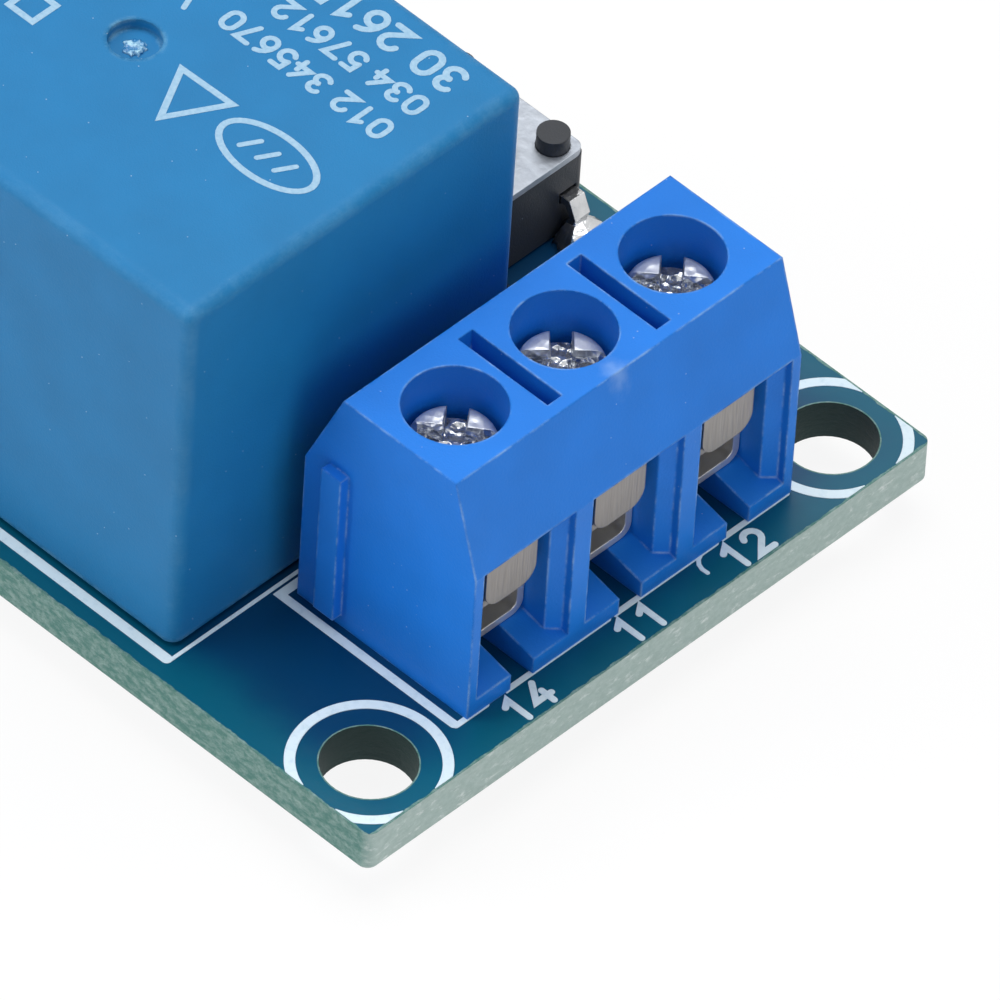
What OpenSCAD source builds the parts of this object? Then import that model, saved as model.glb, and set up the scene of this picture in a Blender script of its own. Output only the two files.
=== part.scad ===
// One-channel relay module: a screw terminal, a sealed relay and a push switch on a small circuit board.
// Millimetres. +X runs to the terminal end, +Y to the switch side, +Z up.
// The origin is the centre of the four mounting holes, on the underside of the board.

/* [Circuit board] */
// Length of the board
board_length = 50; // [48:0.5:80]
// Width of the board
board_width = 26.5; // [25.5:0.5:40]
// Thickness of the board
board_thickness = 1.6; // [0.8:0.1:2.4]
// Diameter of each mounting hole
mounting_hole_d = 3.3; // [2.2:0.1:3.6]
// Distance from each edge to a mounting hole's centre
mounting_hole_inset = 2.4; // [2.2:0.1:2.8]
// Length of the soldered tails under the board
tail_length = 1.5; // [1:0.1:3]

/* [Screw terminal] */
// Distance between neighbouring poles
pole_pitch = 5.08; // [5:0.02:5.4]
// Distance from the board's end to the terminal's front
terminal_setback = 1.55; // [0.5:0.05:2]
// Distance from the board's near edge to the terminal's end face
terminal_side_gap = 6.1; // [5:0.1:7]
// Depth of the terminal from front to back at its foot
terminal_depth = 7.85; // [7.6:0.05:8.3]
// Height of the terminal above the board
terminal_height = 10.2; // [9.9:0.1:12]
// Height at which the front and back start to lean in
shoulder_height = 6.5; // [6.2:0.1:6.9]
// How far the front leans in at the top
front_lean = 1.15; // [0.6:0.05:1.3]
// How far the back leans in at the top
back_lean = 1.55; // [0.8:0.05:1.7]
// Diameter of the screwdriver bores
driver_bore_d = 3.6; // [3.4:0.05:4]
// Distance from the terminal's front to the screw axes
screw_setback = 3.7; // [3.6:0.05:3.9]
// Wall between a wire window and the edge of its pole
window_wall = 0.4; // [0.3:0.05:0.5]
// Height of the sill under each wire window
sill_height = 0.7; // [0.4:0.05:0.9]
// Width of the rib on the terminal's end face
rib_width = 0.9; // [0.6:0.05:1.2]
// How far that rib stands proud
rib_proud = 0.4; // [0.2:0.05:0.6]

/* [Clamps] */
// Wall of each clamp box
clamp_wall = 0.3; // [0.25:0.05:0.45]
// Nominal diameter of the clamp screws
screw_d = 2.5; // [2:0.1:2.6]
// Diameter of the screw heads
screw_head_d = 3.05; // [2.7:0.05:3.1]
// Depth of each screw head's top below the terminal's top
screw_head_depth = 1.65; // [1.1:0.05:2]
// Thickness of the wire guards
guard_thickness = 0.3; // [0.2:0.05:0.4]

/* [Relay] */
// Length of the relay
relay_length = 19; // [18.5:0.1:21]
// Width of the relay
relay_width = 15.5; // [15.2:0.1:15.6]
// Height of the relay's top above the board
relay_height = 15.5; // [15:0.1:20]
// Distance from the board's end to the relay
relay_setback = 10.35; // [10.3:0.05:11]
// Distance from the board's near edge to the relay
relay_side_gap = 1.25; // [0.5:0.05:1.4]
// Wall of the relay's cover
cover_wall = 0.8; // [0.5:0.05:1]
// Radius of the cover's edges
cover_edge_r = 0.45; // [0.2:0.05:0.6]
// Diameter of the vent dimple in the cover
dimple_d = 1.85; // [1.2:0.05:2.4]
// Distance from the relay's front to the vent dimple
dimple_setback = 10.3; // [4:0.1:15]
// Angle that the armature swings through
armature_swing = 2.5; // [1:0.25:3]

/* [Push switch] */
// Side of the square switch body
switch_size = 6; // [5.8:0.1:6.2]
// Height of the switch's metal cover above the board
switch_height = 3.5; // [3.3:0.1:4.3]
// Height of the button's top above the board
button_top = 5; // [4.8:0.1:9]
// Diameter of the button
button_d = 3.5; // [3:0.1:3.6]
// Travel of the button
button_travel = 0.25; // [0.1:0.05:0.3]
// Distance from the board's end to the switch
switch_setback = 15.15; // [14.5:0.05:16]
// Distance from the board's far edge to the switch
switch_side_gap = 1.2; // [0.8:0.1:1.5]

/* [Input header] */
// Distance between neighbouring header pins
header_pitch = 2.54; // [2.5:0.04:2.54]
// Side of the square header pins
header_pin = 0.64; // [0.5:0.02:0.7]
// Length of the header pins above their block
header_pin_length = 6; // [4:0.5:10]

/* [Hidden] */
$fn = 48;
cut = 0.1;          // how far each cutter runs past the face that it cuts
fit = 0.05;         // clearance of pieces that slide into each other at assembly
rivet_fit = 0.02;   // clearance across a hole that a riveted end fills
poles = 3;

board_end = board_length / 2;
near_edge = -board_width / 2;
far_edge = board_width / 2;
top_z = board_thickness;

// ---------- shared shapes ----------

// A flat outline in X and Z, drawn out along Y from y = 0.
module along_y(length) translate([0, length, 0]) rotate([90, 0, 0]) linear_extrude(length) children();

// A flat outline in Y and Z, drawn out along X from x = 0.
module along_x(length) rotate([90, 0, 90]) linear_extrude(length) children();

// A rectangle centred on X with its lower edge on Y = 0, and rounded corners.
module soft_rectangle(width, height, r) {
    translate([-width / 2 + r, 0]) square([width - 2 * r, height]);
    translate([-width / 2, r]) square([width, height - 2 * r]);
    for (x = [-width / 2 + r, width / 2 - r])
        for (y = [r, height - r])
            translate([x, y]) circle(r);
}

// A box standing on z = 0 with its vertical and top edges rounded.
module soft_box(length, width, height, r) {
    linear_extrude(height - r) translate([0, -width / 2]) soft_rectangle(length, width, r);
    translate([-length / 2 + r, -width / 2 + r, 0]) cube([length - 2 * r, width - 2 * r, height]);
    for (y = [-width / 2 + r, width / 2 - r])
        translate([-length / 2 + r, y, height - r]) rotate([0, 90, 0]) cylinder(h = length - 2 * r, r = r);
    for (x = [-length / 2 + r, length / 2 - r])
        translate([x, -width / 2 + r, height - r]) rotate([-90, 0, 0]) cylinder(h = width - 2 * r, r = r);
    for (x = [-length / 2 + r, length / 2 - r])
        for (y = [-width / 2 + r, width / 2 - r])
            translate([x, y, height - r]) sphere(r);
}

// ---------- screw terminal ----------

terminal_x = board_end - terminal_setback;
terminal_y = near_edge + terminal_side_gap;
terminal_length = poles * pole_pitch;
pole_width = pole_pitch - 2 * window_wall;

clamp_width = screw_d + 2 * (fit + clamp_wall);    // the box's sides pass the screw's shank
clamp_z = 1.15;                      // underside of each clamp box above the board
clamp_length = 4.2;
clamp_front = screw_setback - clamp_length / 2;
clamp_height = 4.75;
tap_thickness = 1;                   // the tapped plate at the top of the box
tap_z = clamp_z + clamp_height - tap_thickness;
lead = 0.45;                         // thread pitch of the clamp screws
turns_up = 2;
travel_up = turns_up * lead;

screw_head_h = 1.25;
screw_top_z = terminal_height - screw_head_depth;
guard_width = 2.36;
guard_setback = 0.75;                // from the terminal's front to the guard's lip
guard_play = 0.1;                    // room over a guard when its screw is turned out
guard_side_play = 0.15;              // on each side of a guard's leaf
guard_leaf_width = clamp_width - 2 * clamp_wall - 2 * guard_side_play;
guard_z = tap_z - travel_up - guard_thickness - guard_play;
lip_height = 2.5;
lip_corner_r = 0.7;
chamber_width = clamp_width + 2 * fit;
chamber_top = guard_z + lip_height + travel_up + guard_play + fit;
chamber_front = guard_setback - guard_play;
chamber_back = clamp_front + clamp_length + fit;
pin_slot_width = 1.05;
contact_pin = [0.8, 0.9];
clamp_corner_r = 0.5;
clamp_inner_r = 0.3;
guard_back_gap = 0.4;                // from the guard's leaf to the back of its box
screw_tip_gap = 0.02;                // between a screw's tip and its guard
rib_setback = 1.1;                   // from the terminal's back to the rib
rib_foot = 0.5;                      // height of the rib's lower end
partition_slot = [4.1, 0.66, 3];     // slot in the top between two poles
partition_slot_setback = 1.65;
funnel_lip = 0.3;                    // straight part of each window's edge

function pole_y(i) = (i - 0.5) * pole_pitch;

module terminal_outline() {
    polygon([[0, 0], [0, shoulder_height], [-front_lean, terminal_height],
             [-terminal_depth + back_lean, terminal_height], [-terminal_depth, shoulder_height],
             [-terminal_depth, 0]]);
}

// The opening that a wire enters: a sloping floor under a funnel that narrows to the clamp.
module wire_window() {
    outer = pole_width / 2;
    inner = chamber_width / 2;
    back = -clamp_front - cut;
    intersection() {
        translate([0, -pole_width, 0]) along_y(2 * pole_width)
            polygon([[cut, sill_height - cut / 4], [-clamp_front, clamp_z - fit],
                     [-clamp_front, shoulder_height], [cut, shoulder_height]]);
        linear_extrude(terminal_height)
            polygon([[cut, outer], [-funnel_lip, outer], [-chamber_front, inner], [back, inner],
                     [back, -inner], [-chamber_front, -inner], [-funnel_lip, -outer], [cut, -outer]]);
    }
}

module terminal_housing() {
    rib_x = terminal_depth - rib_setback - rib_width;
    color("royalblue")
    translate([terminal_x, terminal_y, top_z]) difference() {
        union() {
            along_y(terminal_length) terminal_outline();
            translate([-rib_x - rib_width, -rib_proud, rib_foot])
                cube([rib_width, rib_proud + cut, shoulder_height]);
        }
        // groove in the far end that takes the next block's rib
        translate([-rib_x - rib_width - fit, terminal_length - rib_proud - fit, -cut])
            cube([rib_width + 2 * fit, rib_proud + fit + cut, shoulder_height + rib_foot + cut + fit]);
        for (i = [1 : poles]) translate([0, pole_y(i), 0]) {
            wire_window();
            // chamber for the clamp box and the guard
            translate([-chamber_back, -chamber_width / 2, clamp_z - fit])
                cube([chamber_back - clamp_front + cut, chamber_width, chamber_top - clamp_z + fit]);
            translate([-chamber_back, -chamber_width / 2, shoulder_height - 1])
                cube([chamber_back - chamber_front, chamber_width, chamber_top - shoulder_height + 1]);
            translate([-screw_setback, 0, chamber_top - cut])
                cylinder(h = terminal_height - chamber_top + 2 * cut, d = driver_bore_d);
            // slot that lets the contact's pin slide in from the front
            translate([-screw_setback - contact_pin[0], -pin_slot_width / 2, -cut])
                cube([screw_setback + contact_pin[0] + cut, pin_slot_width, clamp_z + cut]);
        }
        for (i = [1 : poles - 1])
            translate([-partition_slot_setback - partition_slot[0], i * pole_pitch - partition_slot[1] / 2,
                       terminal_height - partition_slot[2]])
                cube([partition_slot[0], partition_slot[1], partition_slot[2] + cut]);
    }
}

// Pressed box that holds the wire, with its tapped top plate and its solder pin.
module contact(i) {
    color("silver")
    translate([terminal_x, terminal_y + pole_y(i), top_z]) {
        difference() {
            translate([-clamp_front - clamp_length, 0, clamp_z])
                along_x(clamp_length)
                    soft_rectangle(clamp_width, clamp_height, clamp_corner_r);
            translate([-clamp_front - clamp_length - cut, 0, clamp_z + clamp_wall])
                along_x(clamp_length + 2 * cut)
                    soft_rectangle(clamp_width - 2 * clamp_wall, clamp_height - clamp_wall - tap_thickness,
                                   clamp_inner_r);
            // the tapped hole, which also clears the box's rounded inner corners
            translate([-screw_setback, 0, tap_z - clamp_inner_r])
                cylinder(h = tap_thickness + clamp_inner_r + cut, d = screw_d + 2 * fit);
        }
        translate([-screw_setback - contact_pin[0] / 2, -contact_pin[1] / 2, -board_thickness - tail_length])
            cube([contact_pin[0], contact_pin[1], board_thickness + tail_length + clamp_z + clamp_wall / 2]);
    }
}

// Leaf under the screw's tip, with a lip turned up in front of the box.
module wire_guard(i) {
    color("rosybrown")
    translate([terminal_x, terminal_y + pole_y(i), top_z + guard_z]) {
        translate([-guard_setback - guard_thickness, 0, 0])
            along_x(guard_thickness) soft_rectangle(guard_width, lip_height, lip_corner_r);
        translate([-clamp_front - clamp_length + guard_back_gap, -guard_leaf_width / 2, 0])
            cube([clamp_front + clamp_length - guard_back_gap - guard_setback - guard_thickness / 2,
                  guard_leaf_width, guard_thickness]);
    }
}

module clamp_screw(i) {
    recess_width = 0.75;
    recess_depth = 0.7;
    short_recess = 2.2;              // length of the cross's second slot
    chamfer = 0.2;
    tip_z = guard_z + guard_thickness + screw_tip_gap;
    color("gainsboro")
    translate([terminal_x - screw_setback, terminal_y + pole_y(i), top_z]) difference() {
        union() {
            translate([0, 0, tip_z]) cylinder(h = screw_top_z - screw_head_h - tip_z + cut, d = screw_d);
            translate([0, 0, screw_top_z - screw_head_h])
                cylinder(h = screw_head_h - chamfer, d = screw_head_d);
            translate([0, 0, screw_top_z - chamfer])
                cylinder(h = chamfer, d1 = screw_head_d, d2 = screw_head_d - 2 * chamfer);
        }
        for (turn = [0, 90])
            rotate([0, 0, turn + 20 * i])
                translate([-screw_head_d, -recess_width / 2, screw_top_z - recess_depth]) intersection() {
                    cube([2 * screw_head_d, recess_width, recess_depth + cut]);
                    translate([screw_head_d, recess_width / 2, 0])
                        cylinder(h = recess_depth + 2 * cut,
                                 d = turn == 0 ? 2 * screw_head_d : short_recess);
                }
    }
}

// ---------- relay ----------

relay_x = board_end - relay_setback - relay_length / 2;
relay_y = near_edge + relay_side_gap + relay_width / 2;
relay_foot = 0.2;                    // gap under the cover
dimple_depth = 0.4;
base_z = 0.5;
base_height = 1.3;
inner_length = relay_length - 2 * cover_wall;
inner_width = relay_width - 2 * cover_wall;
pad_side = 1.2;                      // pads that keep the relay off the board
pad_inset = [3.2, 2.6];              // from the base's ends and sides to the pads' centres

yoke_thickness = 1.2;
yoke_width = 9;
yoke_end_gap = 0.4;                  // between the yoke's back and the cover
yoke_back = inner_length / 2 - yoke_end_gap - yoke_thickness;    // the upright's inner face, from the centre
yoke_rest = 0.3;                     // height of the rib that carries the yoke
yoke_rest_width = 6;
yoke_z = base_z + base_height + yoke_rest;
core_x = -1;
core_d = 4;
core_tail_d = 3;                     // the riveted end that fills the yoke's hole
pole_d = core_d + 2;
pole_headroom = 3.5;                 // from the relay's top down to the pole face
pole_z = relay_height - pole_headroom;
hinge_x = -yoke_back - yoke_thickness;
pole_reach = core_x + pole_d / 2 - hinge_x;
pole_air_gap = 0.1;                  // left over the pole when the armature is pulled in
armature_gap = 0.1;                  // over the yoke's edge at rest
yoke_top = pole_z + pole_reach * tan(armature_swing) + pole_air_gap - armature_gap;
armature_z = yoke_top + armature_gap;
armature_thickness = 0.8;
armature_width = 7.5;
armature_overhang = 0.5;             // past the pole's far edge
blade_width = 3.6;
blade_setback = 1;                   // from the armature's hinge to the blade
blade_thickness = 0.2;
blade_z = armature_z + armature_thickness;
rivet_d = 2.2;
rivet_h = 0.25;
contact_x = 6.4;                     // contact rivets, from the relay's centre
contact_gap = 0.05;
blade_sweep = (contact_x + rivet_d / 2 - hinge_x) * tan(armature_swing);
strip_thickness = 0.4;
contact_pin_x = inner_length / 2 - 1;
contact_pin_y = 6;
coil_pin_x = -5.6;
coil_pin_y = 6;
common_pin_x = hinge_x + yoke_thickness / 2;
relay_pin = [0.5, 1];

module at_relay() translate([relay_x, relay_y, top_z]) children();

module relay_cover() {
    color("steelblue")
    at_relay() difference() {
        translate([0, 0, relay_foot])
            soft_box(relay_length, relay_width, relay_height - relay_foot, cover_edge_r);
        translate([-inner_length / 2, -inner_width / 2, -cut])
            cube([inner_length, inner_width, relay_height - cover_wall + cut]);
        translate([relay_length / 2 - dimple_setback, 0, relay_height - dimple_depth])
            cylinder(h = dimple_depth + cut, d = dimple_d);
    }
}

module relay_base() {
    color("midnightblue")
    at_relay() difference() {
        union() {
            translate([-inner_length / 2 + fit, -inner_width / 2 + fit, base_z])
                cube([inner_length - 2 * fit, inner_width - 2 * fit, base_height]);
            // pads that keep the relay off the board
            for (x = [-1, 1]) for (y = [-1, 1])
                translate([x * (inner_length / 2 - pad_inset[0]) - pad_side / 2,
                           y * (inner_width / 2 - pad_inset[1]) - pad_side / 2, 0])
                    cube([pad_side, pad_side, base_z + cut]);
            // rest for the yoke
            translate([hinge_x, -yoke_rest_width / 2, base_z + base_height - cut])
                cube([core_x + core_d / 2 - hinge_x, yoke_rest_width, yoke_rest + cut]);
        }
        for (p = relay_pins)
            translate([p[0] - p[2] / 2 - fit, p[1] - p[3] / 2 - fit, -cut])
                cube([p[2] + 2 * fit, p[3] + 2 * fit, yoke_z + 1]);
    }
}

// centre x, centre y, size in x and size in y of each pin, from the relay's centre
relay_pins = [
    [contact_pin_x, -contact_pin_y, relay_pin[0], relay_pin[1]],
    [contact_pin_x, contact_pin_y, relay_pin[0], relay_pin[1]],
    [common_pin_x, 0, relay_pin[0], relay_pin[1]],
    [coil_pin_x, -coil_pin_y, relay_pin[0], relay_pin[0]],
    [coil_pin_x, coil_pin_y, relay_pin[0], relay_pin[0]]
];

module relay_pin_tail(p, up) {
    translate([p[0] - p[2] / 2, p[1] - p[3] / 2, -board_thickness - tail_length])
        cube([p[2], p[3], board_thickness + tail_length + up]);
}

bobbin_z = yoke_z + yoke_thickness + fit;
pole_plate = 0.9;                    // thickness of the core's wide end
bobbin_top = pole_z - pole_plate;
flange_thickness = 0.7;
flange_side = 9.4;
bobbin_wall = 0.65;
bobbin_tube_r = core_d / 2 + bobbin_wall;
winding_d = 8.6;

module relay_bobbin() {
    color("ivory")
    at_relay() translate([core_x, 0, 0]) difference() {
        union() {
            for (z = [bobbin_z, bobbin_top - flange_thickness])
                translate([-flange_side / 2, -flange_side / 2, z])
                    cube([flange_side, flange_side, flange_thickness]);
            translate([0, 0, bobbin_z]) cylinder(h = bobbin_top - bobbin_z, r = bobbin_tube_r);
        }
        translate([0, 0, bobbin_z - cut]) cylinder(h = bobbin_top - bobbin_z + 2 * cut, d = core_d + 2 * fit);
    }
}

module relay_winding() {
    winding_z = bobbin_z + flange_thickness + fit;
    winding_h = bobbin_top - bobbin_z - 2 * flange_thickness - 2 * fit;
    color("chocolate")
    at_relay() translate([core_x, 0, winding_z]) difference() {
        cylinder(h = winding_h, d = winding_d);
        translate([0, 0, -cut]) cylinder(h = winding_h + 2 * cut, r = bobbin_tube_r + fit);
    }
}

module relay_core() {
    color("silver")
    at_relay() translate([core_x, 0, 0]) {
        translate([0, 0, yoke_z]) cylinder(h = yoke_thickness + cut, d = core_tail_d);
        translate([0, 0, yoke_z + yoke_thickness]) cylinder(h = pole_z - yoke_z - yoke_thickness, d = core_d);
        translate([0, 0, bobbin_top + fit]) cylinder(h = pole_z - bobbin_top - fit, d = pole_d);
    }
}

module relay_yoke() {
    color("lightsteelblue")
    at_relay() difference() {
        translate([0, -yoke_width / 2, 0]) along_y(yoke_width)
            polygon([[hinge_x, yoke_z], [core_x + core_d, yoke_z], [core_x + core_d, yoke_z + yoke_thickness],
                     [-yoke_back, yoke_z + yoke_thickness], [-yoke_back, yoke_top], [hinge_x, yoke_top]]);
        translate([core_x, 0, yoke_z - cut])
            cylinder(h = yoke_thickness + 2 * cut, d = core_tail_d + rivet_fit);
    }
}

module relay_armature() {
    color("lightsteelblue")
    at_relay() translate([hinge_x, -armature_width / 2, armature_z])
        cube([pole_reach + armature_overhang, armature_width, armature_thickness]);
}

module relay_blade() {
    color("peru")
    at_relay() {
        translate([hinge_x + blade_setback, -blade_width / 2, blade_z])
            cube([contact_x + rivet_d / 2 - hinge_x - blade_setback, blade_width, blade_thickness]);
        translate([contact_x, 0, blade_z - rivet_h])
            cylinder(h = 2 * rivet_h + blade_thickness, d = rivet_d);
    }
}

// A fixed contact: its pin, an upright strip and an arm that reaches under or over the blade.
module fixed_contact(side, rivet_low, arm_z) {
    pin = side < 0 ? relay_pins[0] : relay_pins[1];
    arm_length = contact_pin_y + relay_pin[1] / 2;
    relay_pin_tail(pin, arm_z + strip_thickness);
    arm_width = contact_pin_x + relay_pin[0] / 2 - contact_x + rivet_d / 2;
    translate([contact_x - rivet_d / 2, side < 0 ? -arm_length : -rivet_d / 2, arm_z])
        cube([arm_width, arm_length + rivet_d / 2, strip_thickness]);
    translate([contact_x, 0, rivet_low]) cylinder(h = rivet_h, d = rivet_d);
}

module relay_open_contact() {
    rivet_low = blade_z - rivet_h - blade_sweep - contact_gap - rivet_h;
    color("goldenrod")
    at_relay() fixed_contact(-1, rivet_low, rivet_low - strip_thickness);
}

module relay_closed_contact() {
    rivet_low = blade_z + blade_thickness + rivet_h + contact_gap;
    color("goldenrod")
    at_relay() fixed_contact(1, rivet_low, rivet_low + rivet_h);
}

module relay_common_pin() {
    color("silver")
    at_relay() relay_pin_tail(relay_pins[2], yoke_z);
}

module relay_coil_pins() {
    color("silver")
    at_relay() for (p = [relay_pins[3], relay_pins[4]]) relay_pin_tail(p, bobbin_z - fit);
}

// ---------- push switch ----------

switch_x = board_end - switch_setback - switch_size / 2;
switch_y = far_edge - switch_side_gap - switch_size / 2;
switch_foot = 0.1;
plate_thickness = 0.25;
post_inset = 0.78;                   // from the switch's sides to the posts' centres
post_offset = switch_size / 2 - post_inset;
post_foot = 0.5;                     // height at which the posts start inside the body
post_d = 1.15;
post_proud = 0.6;
cavity_d = 4.4;
floor_z = 1;
dome_r = 1.9;
dome_rise = 0.45;
dome_thickness = 0.12;
dome_gap = 0.05;                     // left over the dome when the button is down
stem_d = 2;
leg_y = 2.25;
leg_width = 0.7;
leg_thickness = 0.3;
leg_x = switch_size / 2 + 0.25;
flange_h = 0.5;
flange_gap = 0.02;                   // between the button's flange and the cover
button_play = 0.15;                  // clearance round the button and its flange

module at_switch() translate([switch_x, switch_y, top_z]) children();

module switch_body() {
    color("darkslategray")
    at_switch() difference() {
        union() {
            translate([0, 0, switch_foot]) linear_extrude(switch_height - plate_thickness - switch_foot)
                translate([0, -switch_size / 2]) soft_rectangle(switch_size, switch_size, 0.3);
            for (x = [-1, 1]) for (y = [-1, 1])
                translate([x * post_offset, y * post_offset, post_foot])
                    cylinder(h = switch_height + post_proud - post_foot, d = post_d);
        }
        translate([0, 0, floor_z]) cylinder(h = switch_height, d = cavity_d);
        for (x = [-1, 1]) for (y = [-1, 1])
            translate([x * (switch_size / 2 - 0.2) - 0.5, y * leg_y - leg_width / 2 - fit, 1.5])
                cube([1, leg_width + 2 * fit, 0.5]);
    }
}

module switch_cover() {
    color("gainsboro")
    at_switch() translate([0, 0, switch_height - plate_thickness]) difference() {
        linear_extrude(plate_thickness) translate([0, -switch_size / 2])
            soft_rectangle(switch_size, switch_size, 0.4);
        translate([0, 0, -cut]) cylinder(h = 1, d = button_d + 2 * button_play);
        for (x = [-1, 1]) for (y = [-1, 1])
            translate([x * post_offset, y * post_offset, -cut]) cylinder(h = 1, d = post_d + 2 * rivet_fit);
    }
}

// Snap dome: a shallow cap that lies on the floor of the switch.
module switch_dome() {
    sphere_r = (dome_r * dome_r + dome_rise * dome_rise) / (2 * dome_rise);
    color("silver")
    at_switch() translate([0, 0, floor_z]) intersection() {
        translate([0, 0, dome_rise - sphere_r]) difference() {
            sphere(sphere_r, $fn = 96);
            sphere(sphere_r - dome_thickness, $fn = 96);
        }
        cylinder(h = 1, r = dome_r);
    }
}

// The button: a flange under the cover keeps it in, and a stem on it presses the dome.
module switch_button() {
    chamfer = 0.15;
    button_z = switch_height - plate_thickness - flange_h - flange_gap;
    stem_z = floor_z + dome_rise + button_travel + dome_gap;
    color("black")
    at_switch() {
        translate([0, 0, stem_z]) cylinder(h = button_z - stem_z + cut, d = stem_d);
        translate([0, 0, button_z]) cylinder(h = flange_h, d = cavity_d - 2 * button_play);
        translate([0, 0, button_z]) cylinder(h = button_top - button_z - chamfer, d = button_d);
        translate([0, 0, button_top - chamfer])
            cylinder(h = chamfer, d1 = button_d, d2 = button_d - 2 * chamfer);
    }
}

module switch_leg() {
    drop = -board_thickness - tail_length;
    along_y(leg_width)
        polygon([[switch_size / 2 - 0.6, 1.6], [leg_x, 1.6], [leg_x + 0.2, 1.2],
                 [leg_x - 0.1, 0.5], [leg_x - 0.1, drop],
                 [leg_x - 0.1 + leg_thickness, drop], [leg_x - 0.1 + leg_thickness, 0.45],
                 [leg_x + 0.2 + leg_thickness, 1.2], [leg_x + leg_thickness * 0.6, 1.6 + leg_thickness],
                 [switch_size / 2 - 0.6, 1.6 + leg_thickness]]);
}

module switch_legs() {
    color("silver")
    at_switch() for (side = [0, 1]) mirror([side, 0, 0]) for (y = [-1, 1])
        translate([0, y * leg_y - leg_width / 2, 0]) switch_leg();
}

// ---------- input header ----------

header_inset = 2.2;                  // from the board's end to the pins
header_x = -board_end + header_inset;
header_height = 2.5;
header_pins_n = 3;

function header_y(i) = (i - (header_pins_n - 1) / 2) * header_pitch;

module header_block() {
    chamfer = 0.5;
    half = header_pitch / 2;
    color("black")
    translate([header_x, 0, top_z]) difference() {
        for (i = [0 : header_pins_n - 1])
            translate([0, header_y(i), 0]) linear_extrude(header_height)
                polygon([[-half, chamfer - half], [chamfer - half, -half], [half - chamfer, -half],
                         [half, chamfer - half], [half, half - chamfer], [half - chamfer, half],
                         [chamfer - half, half], [-half, half - chamfer]]);
        for (i = [0 : header_pins_n - 1])
            translate([-header_pin / 2, header_y(i) - header_pin / 2, -cut])
                cube([header_pin, header_pin, header_height + 2 * cut]);
    }
}

module header_pins() {
    color("gold")
    for (i = [0 : header_pins_n - 1])
        translate([header_x - header_pin / 2, header_y(i) - header_pin / 2, -tail_length])
            cube([header_pin, header_pin, tail_length + top_z + header_height + header_pin_length]);
}

// ---------- small surface-mounted pieces ----------

// They stand centred in the space between the header and the relay.
header_front = header_x + header_pitch / 2;
relay_back = relay_x - relay_length / 2;
controller_y = -5.5;
transistor_at = [1.2, 2.2];          // places from chip_x and the board's centre line
diode_at = [2.2, 7.4];
resistors_at = [[-4.6, 4.8], [-4.6, 2.2], [-4.6, -0.4], [1.4, -0.6]];
power_led_at = [-4.6, -6.4];
relay_led_at = [-4.6, 8.2];
capacitor_at = [1.4, 3.05];          // from chip_x and the near edge
parts_reach = [5.6, 4.75];           // how far the pieces reach to each side of chip_x
chip_x = (header_front + relay_back + parts_reach[0] - parts_reach[1]) / 2;

// A chip resistor or capacitor: a flat body between two wrapped end caps.
module chip_part(height) {
    length = 2;
    width = 1.25;
    cap = 0.4;
    skin = 0.04;
    translate([-length / 2 + cap / 2, -width / 2 + skin, skin])
        cube([length - cap, width - 2 * skin, height - 2 * skin]);
    for (x = [-length / 2, length / 2 - cap])
        translate([x, -width / 2, 0]) cube([cap, width, height]);
}

// One gull-wing lead that runs out along +X from x = 0 at half the body's height.
module gull_lead(reach, width, shoulder) {
    t = 0.2;
    translate([0, -width / 2, 0]) along_y(width)
        polygon([[-t, shoulder - t / 2], [reach * 0.35, shoulder - t / 2], [reach * 0.5, 0], [reach, 0],
                 [reach, t], [reach * 0.5 + t, t], [reach * 0.35 + t, shoulder + t / 2],
                 [-t, shoulder + t / 2]]);
}

// A moulded package: the upper half tapers to the top as the real one does for its mould.
module moulded_package(length, width, height, stand) {
    draft = 0.12;
    half = (height - stand) / 2;
    translate([0, width / 2, 0]) rotate([90, 0, 0]) linear_extrude(width)
        polygon([[-length / 2 + draft, stand], [length / 2 - draft, stand], [length / 2, stand + half],
                 [length / 2 - draft, height], [-length / 2 + draft, height], [-length / 2, stand + half]]);
}

module controller_chip() {
    lead_pitch = 1.27;
    body = [3.9, 4.9, 1.55];
    color("dimgray")
    translate([chip_x, controller_y, top_z]) difference() {
        union() {
            moulded_package(body[0], body[1], body[2], 0.15);
            for (side = [0, 1]) mirror([side, 0, 0]) for (i = [-1.5 : 1.5])
                translate([body[0] / 2, i * lead_pitch, 0]) gull_lead(1, 0.42, 0.8);
        }
        // the dot that marks the first lead
        translate([-body[0] / 2 + 0.8, body[1] / 2 - 0.8, body[2] - 0.08]) cylinder(h = 1, d = 0.7);
    }
}

module driver_transistor() {
    body = [1.3, 2.9, 1.05];
    color("dimgray")
    translate([chip_x + transistor_at[0], transistor_at[1], top_z]) {
        moulded_package(body[0], body[1], body[2], 0.05);
        translate([body[0] / 2, 0, 0]) gull_lead(0.55, 0.4, 0.5);
        for (y = [-0.95, 0.95]) translate([-body[0] / 2, y, 0]) mirror([1, 0, 0]) gull_lead(0.55, 0.4, 0.5);
    }
}

module flyback_diode() {
    body = [4.3, 2.6, 2.2];
    tab_width = 1.45;
    tab_reach = 0.4;
    color("dimgray")
    translate([chip_x + diode_at[0], diode_at[1], top_z]) {
        moulded_package(body[0], body[1], body[2], 0.1);
        for (side = [0, 1]) mirror([side, 0, 0]) translate([body[0] / 2, 0, 0])
            gull_lead(tab_reach, tab_width, body[2] / 2);
    }
}

module chip_resistors() {
    color("dimgray")
    for (p = resistors_at)
        translate([chip_x + p[0], p[1], top_z]) chip_part(0.5);
}

module chip_capacitor() {
    color("tan")
    translate([chip_x + capacitor_at[0], near_edge + capacitor_at[1], top_z]) chip_part(0.85);
}

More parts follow.
